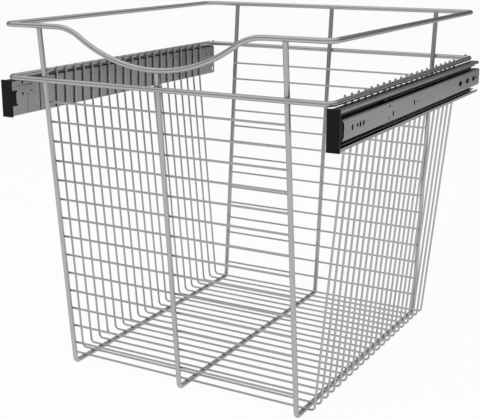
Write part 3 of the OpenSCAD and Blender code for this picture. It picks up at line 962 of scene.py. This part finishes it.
@dataclass
class Nugget:
    """One squeezed resistance weld: a lumpy lens of metal between two wires."""

    place: tuple[float, float, float]
    radii: tuple[float, float, float]
    lumps: float = 0.14
    lump_scale: float = 1.9
    fineness: int = 2

    def add_to(self, work: bmesh.types.BMesh) -> None:
        """Adds the nugget to mesh work in millimetres."""
        middle = Vector(self.place)
        for vert in bmesh.ops.create_icosphere(work, subdivisions=self.fineness, radius=1.0)["verts"]:
            lump = 1.0 + self.lumps * noise.noise(vert.co * self.lump_scale + middle)
            vert.co = middle + Vector([c * r * lump for c, r in zip(vert.co, self.radii)])


@dataclass
class ButtBead:
    """The bead that closes the wedge between a wire's square end and the round rail above it."""

    end: Vector
    rail_y: float
    rail_z: float
    wire_r: float
    steps: int = 28
    sides: int = 8
    least_r: float = 0.75
    wedge_share: float = 0.36
    tuck: float = 0.55
    ripple: float = 0.12
    ripple_count: float = 9.0

    def ring(self, angle: float) -> list[Vector]:
        """Returns one ring of the bead at an angle round the wire, flush with the rail's outer face.

        Args:
            angle: Angle round the wire's end, in radians.

        Returns:
            The ring's points.
        """
        out = Vector((math.cos(angle), math.sin(angle), 0.0))
        across = self.end.y + self.wire_r * out.y - self.rail_y
        under = self.rail_z - math.sqrt(max(0.0, self.wire_r**2 - across**2))
        wedge = max(0.0, under - self.end.z)
        wobble = 1.0 + self.ripple * math.sin(self.ripple_count * angle + self.end.x)
        thick = (self.least_r + self.wedge_share * wedge) * wobble
        centre = self.end + out * (self.wire_r - self.tuck * thick) + Vector((0.0, 0.0, wedge / 2))
        turns = [math.tau * k / self.sides for k in range(self.sides)]
        points = [centre + thick * (out * math.cos(a) + Vector((0.0, 0.0, math.sin(a)))) for a in turns]
        face_y = abs(self.rail_y) + self.wire_r
        for point in points:
            point.y = max(-face_y, min(face_y, point.y))
        return points

    def add_to(self, work: bmesh.types.BMesh) -> None:
        """Adds the bead to mesh work in millimetres."""
        angles = [math.tau * i / self.steps for i in range(self.steps)]
        rings = [[work.verts.new(point) for point in self.ring(angle)] for angle in angles]
        for i, ring in enumerate(rings):
            following = rings[(i + 1) % self.steps]
            for k in range(self.sides):
                n = (k + 1) % self.sides
                work.faces.new((ring[k], ring[n], following[n], following[k]))


@dataclass
class Welds:
    """Every weld of the basket: butt beads, crossings, and the legs' welds on the plates."""

    sizes: Sizes
    bench: Bench
    rim_nugget: tuple[float, float, float] = (2.6, 1.1, 2.6)
    wall_nugget: tuple[float, float, float] = (1.9, 0.8, 1.5)
    floor_nugget: tuple[float, float, float] = (1.5, 1.9, 0.8)
    stub_nugget: tuple[float, float, float] = (0.55, 1.2, 1.5)
    plate_nugget: tuple[float, float, float] = (0.45, 1.15, 3.2)
    plate_nugget_places: tuple[float, ...] = (347.0, 363.0, 378.5)
    tip_dome: tuple[float, float, float] = (1.43, 1.43, 0.8)
    tip_lumps: float = 0.05
    corner_bump: tuple[float, float, float] = (2.1, 1.9, 2.3)
    corner_bump_x: float = 213.0
    corner_bump_rise: float = 0.9

    @property
    def frame_places(self) -> tuple[float, ...]:
        """X of the three frame wires."""
        return (-self.sizes.frame_x, 0.0, self.sizes.frame_x)

    def build(self) -> None:
        """Makes all weld pieces."""
        self.add_butt_beads()
        self.add_rim_crossings()
        self.add_wall_crossings()
        self.add_floor_crossings()
        self.add_leg_welds()

    def hand_over(self, name: str, parts: Sequence[Nugget | ButtBead]) -> None:
        """Joins welds into one piece on the basket.

        Args:
            name: Name of the piece.
            parts: The welds in it.
        """
        work = bmesh.new()
        for part in parts:
            part.add_to(work)
        self.bench.hand_over(name, work, WELD_FINISH, Body.BASKET, Slot.WIRE)

    def add_butt_beads(self) -> None:
        """Adds the beads where the frame wires end under the upper rim."""
        s = self.sizes
        beads = []
        for x in self.frame_places:
            for end in End:
                dipped = x == 0.0 and end is End.FRONT
                rail_z = s.top_rim_z - (s.dip_depth if dipped else 0.0)
                tip_z = rail_z - s.frame_wire_d / 2 + s.butt_bite
                tip = Vector((x, s.basket_y + end.value * s.frame_y(tip_z), tip_z))
                rail_y = s.basket_y + end.value * s.rim_d / 2
                beads.append(ButtBead(tip, rail_y, rail_z, s.frame_wire_d / 2))
        self.hand_over("butt_weld_beads", beads)

    def add_rim_crossings(self) -> None:
        """Adds nuggets where frame wires cross the lower rim, and bumps at its rear corners."""
        s = self.sizes
        touch = (s.rim_d - s.frame_wire_d) / 2
        parts = [
            Nugget((x, s.basket_y + end.value * touch, s.slide_rim_z), self.rim_nugget)
            for x in self.frame_places
            for end in End
        ]
        for side in Side:
            place = (
                side.value * self.corner_bump_x,
                s.basket_y + s.rim_d / 2,
                s.slide_rim_z + self.corner_bump_rise + s.frame_wire_d / 2 - self.corner_bump[2] / 2,
            )
            parts.append(Nugget(place, self.corner_bump))
        self.hand_over("lower_rim_welds", parts)

    def add_wall_crossings(self) -> None:
        """Adds nuggets where the horizontal wires cross the frame wires, front and back."""
        s = self.sizes
        stretch = math.sqrt(1 + s.frame_lean**2)
        for end in End:
            parts = []
            for i in range(s.level_count):
                z = s.level_first_z + i * s.level_pitch
                y = s.basket_y + end.value * (s.frame_y(z) - s.frame_wire_d / 2 * stretch)
                parts += [Nugget((x, y, z), self.wall_nugget) for x in self.frame_places]
            self.hand_over(f"{end.word}_crossing_welds", parts)

    def add_floor_crossings(self) -> None:
        """Adds nuggets where the cross wires lie on the frame wires' floor runs."""
        s = self.sizes
        parts = [
            Nugget((x, s.cross_y(i), s.frame_wire_d), self.floor_nugget)
            for i in range(s.cross_count)
            for x in self.frame_places
        ]
        self.hand_over("floor_crossing_welds", parts)

    def add_leg_welds(self) -> None:
        """Adds the welds of the cross wires' upright ends on the lower rim and the plates."""
        s = self.sizes
        for side in Side:
            parts = []
            for i in range(s.cross_count):
                rim_touch = (
                    side.value * (s.rim_w - s.frame_wire_d) / 2,
                    s.leg_y(i, side, s.slide_rim_z),
                    s.slide_rim_z,
                )
                parts.append(Nugget(rim_touch, self.stub_nugget))
                tip_z = s.slide_rim_z + s.frame_wire_d / 2 + s.cross_stub
                tip = (side.value * (s.plate_x - s.mesh_wire_d / 2), s.leg_y(i, side, tip_z), tip_z)
                parts.append(Nugget(tip, self.tip_dome, self.tip_lumps))
                for z in self.plate_nugget_places:
                    plate_touch = (side.value * s.plate_x, s.leg_y(i, side, z), z)
                    parts.append(Nugget(plate_touch, self.plate_nugget))
            self.hand_over(f"{side.word}_leg_welds", parts)


# ---- Slides ------------------------------------------------------------------


@dataclass
class RearBumpers:
    """Rubber blocks inside the narrow channels' rear ends, which the slides close against.

    They lie between front and rear, measured from the slides' front ends.
    """

    sizes: Sizes
    bench: Bench
    front: float = 466.0
    rear: float = 481.0
    inner_u: float = 5.0
    outer_u: float = 11.45
    half_h: float = 10.0
    groove: float = 2.0
    rounding: float = 1.2
    segments: int = 3

    def build(self) -> None:
        """Makes both bumpers."""
        for side in Side:
            self.add_bumper(side)

    def add_bumper(self, side: Side) -> None:
        """Adds one bumper with a groove down its middle.

        Args:
            side: The side of the basket.
        """
        s = self.sizes
        profile = [
            (self.inner_u, -self.half_h),
            (self.outer_u, -self.half_h),
            (self.outer_u, self.half_h),
            (self.inner_u, self.half_h),
            (self.inner_u, self.groove),
            (self.inner_u + self.groove, 0.0),
            (self.inner_u, -self.groove),
        ]
        outline = [(side.value * (s.slide_x + u), s.slide_z + v) for u, v in profile]
        work = bmesh.new()
        front, rear = (
            [work.verts.new((x, s.slide_front_y + y, z)) for x, z in outline] for y in (self.front, self.rear)
        )
        for i in range(len(outline)):
            j = (i + 1) % len(outline)
            work.faces.new((front[i], front[j], rear[j], rear[i]))
        work.faces.new(front)
        work.faces.new(reversed(rear))
        bmesh.ops.bevel(
            work, geom=list(work.edges), offset=self.rounding, offset_type="OFFSET",
            segments=self.segments, affect="EDGES", clamp_overlap=True,
        )
        self.bench.hand_over(f"{side.word}_rear_bumper", work, RUBBER_FINISH, Body.CABINET, Slot.PLASTIC)


def main() -> None:
    """Builds the studio, dresses the part and adds its fine pieces."""
    logging.basicConfig(level=logging.INFO, format="%(name)s: %(message)s")
    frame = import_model()
    sizes = Sizes()
    Studio(sizes).build()
    dresser = Dresser(Effects())
    dresser.dress_cad(frame)
    bench = Bench(dresser)
    Welds(sizes, bench).build()
    RearBumpers(sizes, bench).build()


if __name__ == "__main__":
    main()
